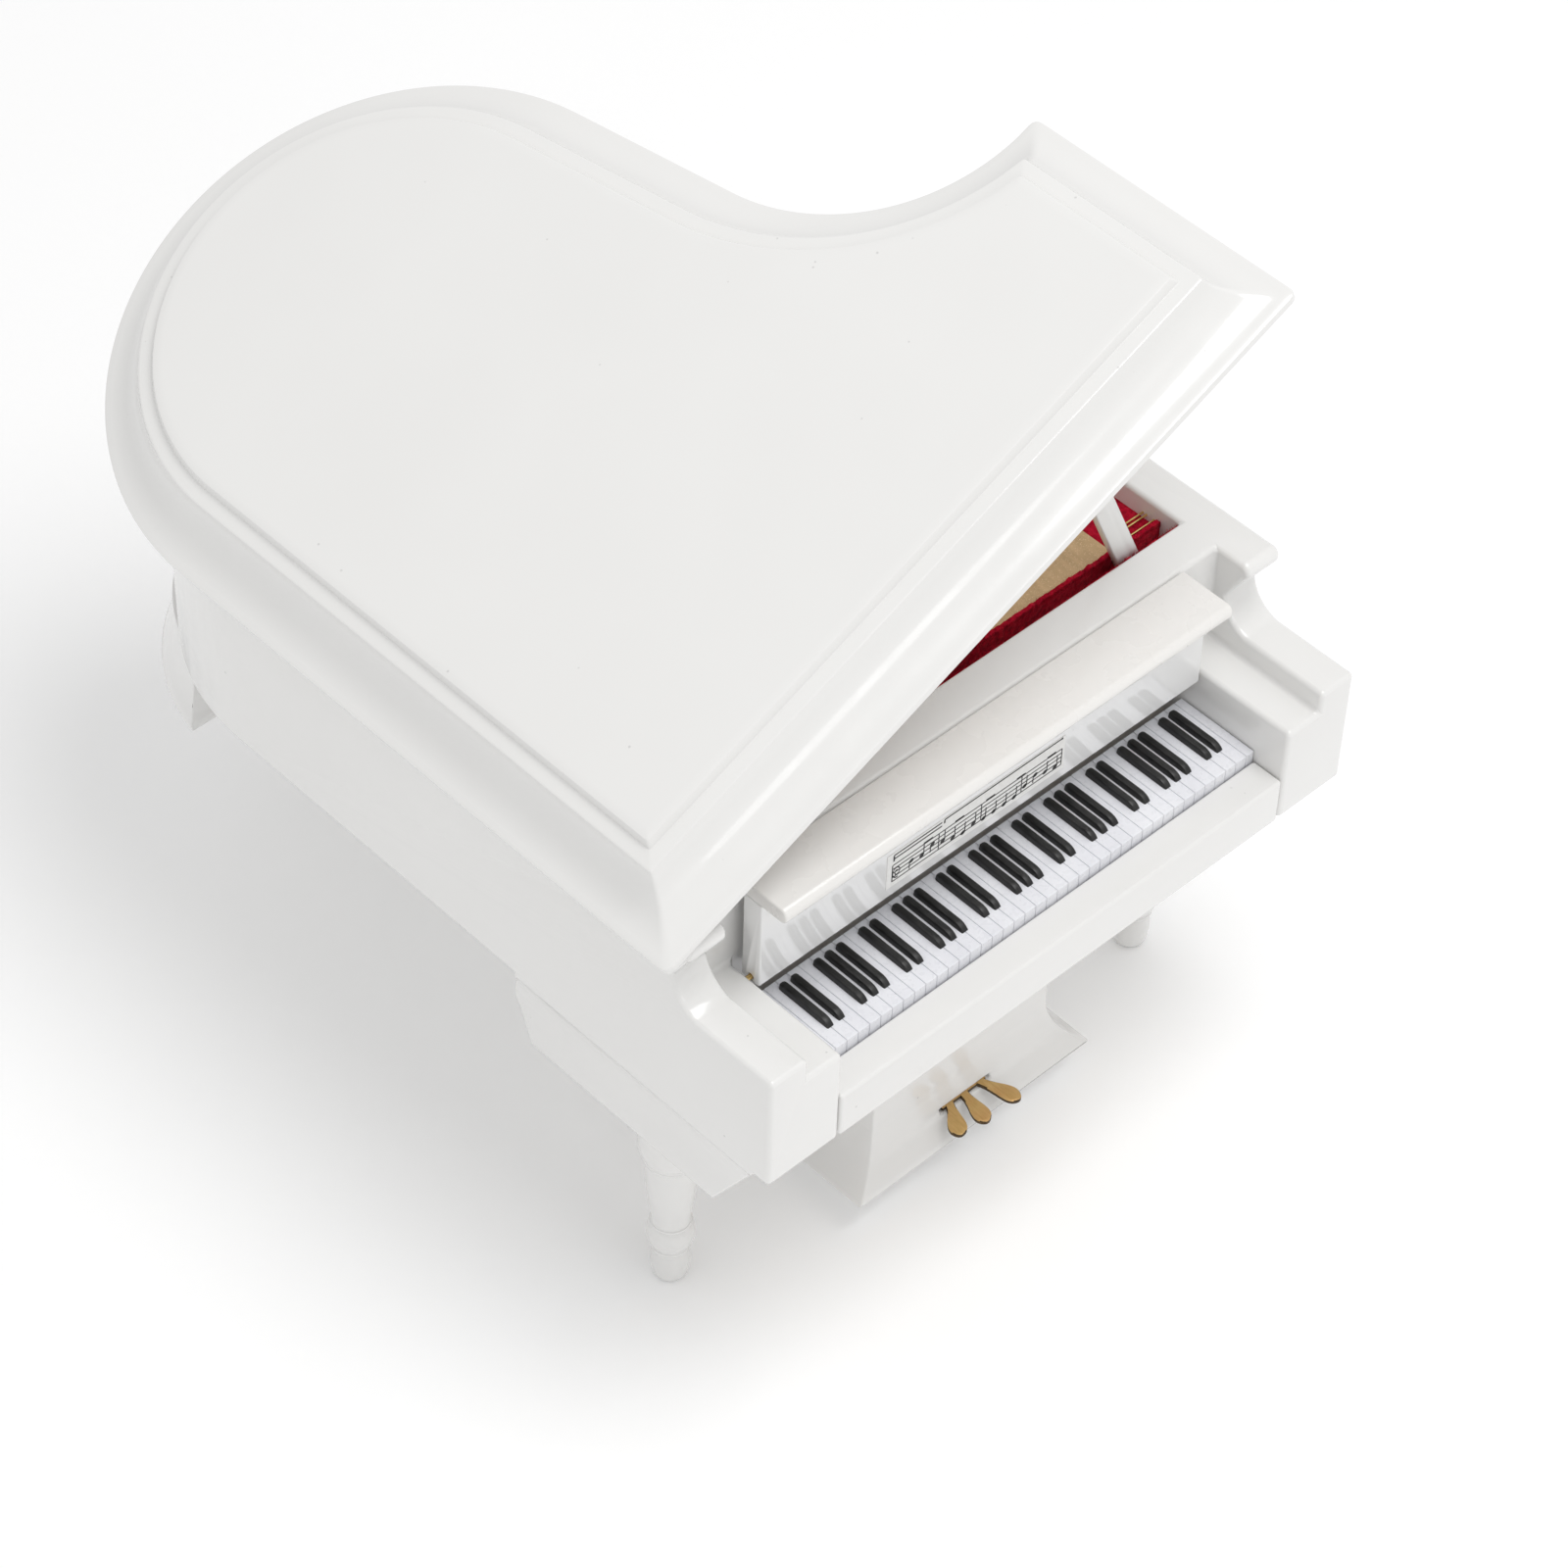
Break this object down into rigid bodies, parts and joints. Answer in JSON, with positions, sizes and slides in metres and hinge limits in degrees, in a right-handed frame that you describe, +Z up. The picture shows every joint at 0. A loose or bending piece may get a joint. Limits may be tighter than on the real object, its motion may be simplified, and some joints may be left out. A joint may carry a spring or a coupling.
{
  "type": "miniature grand piano",
  "caption": "Doll's-house grand piano in white lacquer with a propped lid, folding prop stick and closing fallboard.",
  "frame": {"origin": "middle of the whole piano's box at rest, on the floor under the feet", "axes": "+Z up, +Y from the keyboard to the tail, +X to the player's right (treble)"},
  "size_m": [0.1358, 0.1823, 0.1615],
  "materials": {
    "white_lacquer": "gloss white lacquer over wood",
    "ivory_trim": "satin warm white lacquer",
    "white_keys": "gloss moulded",
    "black_sharps": "gloss moulded",
    "red_velvet": "deep red velvet pile",
    "gilt_plate": "gold bronze paint",
    "bare_wood": "unfinished basswood",
    "dark_wood": "satin stained",
    "string_wire": "drawn wire",
    "brass": "polished",
    "paper_sheet": "printed paper"
  },
  "bodies": {
    "case": {"bent_rim": "white_lacquer", "black_sharps": "black_sharps", "bottom_board": "white_lacquer", "deck_ledge": "bare_wood", "front_hinge_pin": "brass", "front_hinge_rim_leaf": "brass", "front_left_leg": "white_lacquer", "front_right_leg": "white_lacquer", "harp_plate": "gilt_plate", "key_slip": "white_lacquer", "keybed": "white_lacquer", "left_fallboard_pin": "brass", "left_key_block": "white_lacquer", "left_leg_block": "white_lacquer", "long_strings": "string_wire", "lyre_box": "white_lacquer", "pedal_plate": "brass", "prop_pin": "brass", "rear_hinge_pin": "brass", "rear_hinge_rim_leaf": "brass", "right_fallboard_pin": "brass", "right_key_block": "white_lacquer", "right_leg_block": "white_lacquer", "soundboard": "bare_wood", "spine_side": "white_lacquer", "string_bridge": "dark_wood", "tail_leg": "white_lacquer", "tail_leg_block": "white_lacquer", "top_rail": "white_lacquer", "treble_side": "white_lacquer", "treble_wires": "string_wire", "trough_floor": "bare_wood", "tuning_pins": "brass", "velvet_floor": "red_velvet", "velvet_strip": "red_velvet", "white_keys": "white_keys"},
    "lid": {"front_hinge_lid_leaf": "brass", "lid": "white_lacquer", "prop_rest_block": "white_lacquer", "rear_hinge_lid_leaf": "brass"},
    "prop": {"prop_stick": "white_lacquer"},
    "fallboard": {"fallboard_lip": "ivory_trim", "fallboard_panel": "white_lacquer", "music_sheet": "paper_sheet"}
  },
  "joints": [
    {"name": "lid_hinge", "type": "hinge", "parent": "case", "child": "lid", "pos_m": [-0.06314, -0.04715, 0.0978], "axis": [0, -1, 0], "range_deg": [-24.14, 0]},
    {"name": "prop_pivot", "type": "hinge", "parent": "case", "child": "prop", "pos_m": [0.05541, -0.05555, 0.0837], "axis": [0, -1, 0], "range_deg": [0, 65.87]},
    {"name": "fallboard_pivot", "type": "hinge", "parent": "case", "child": "fallboard", "pos_m": [0.00291, -0.0698, 0.07865], "axis": [1, 0, 0], "range_deg": [0, 96]}
  ],
  "couplings": [
    {"joint": "prop_pivot", "follows": "lid_hinge", "ratio": -2.728}
  ]
}
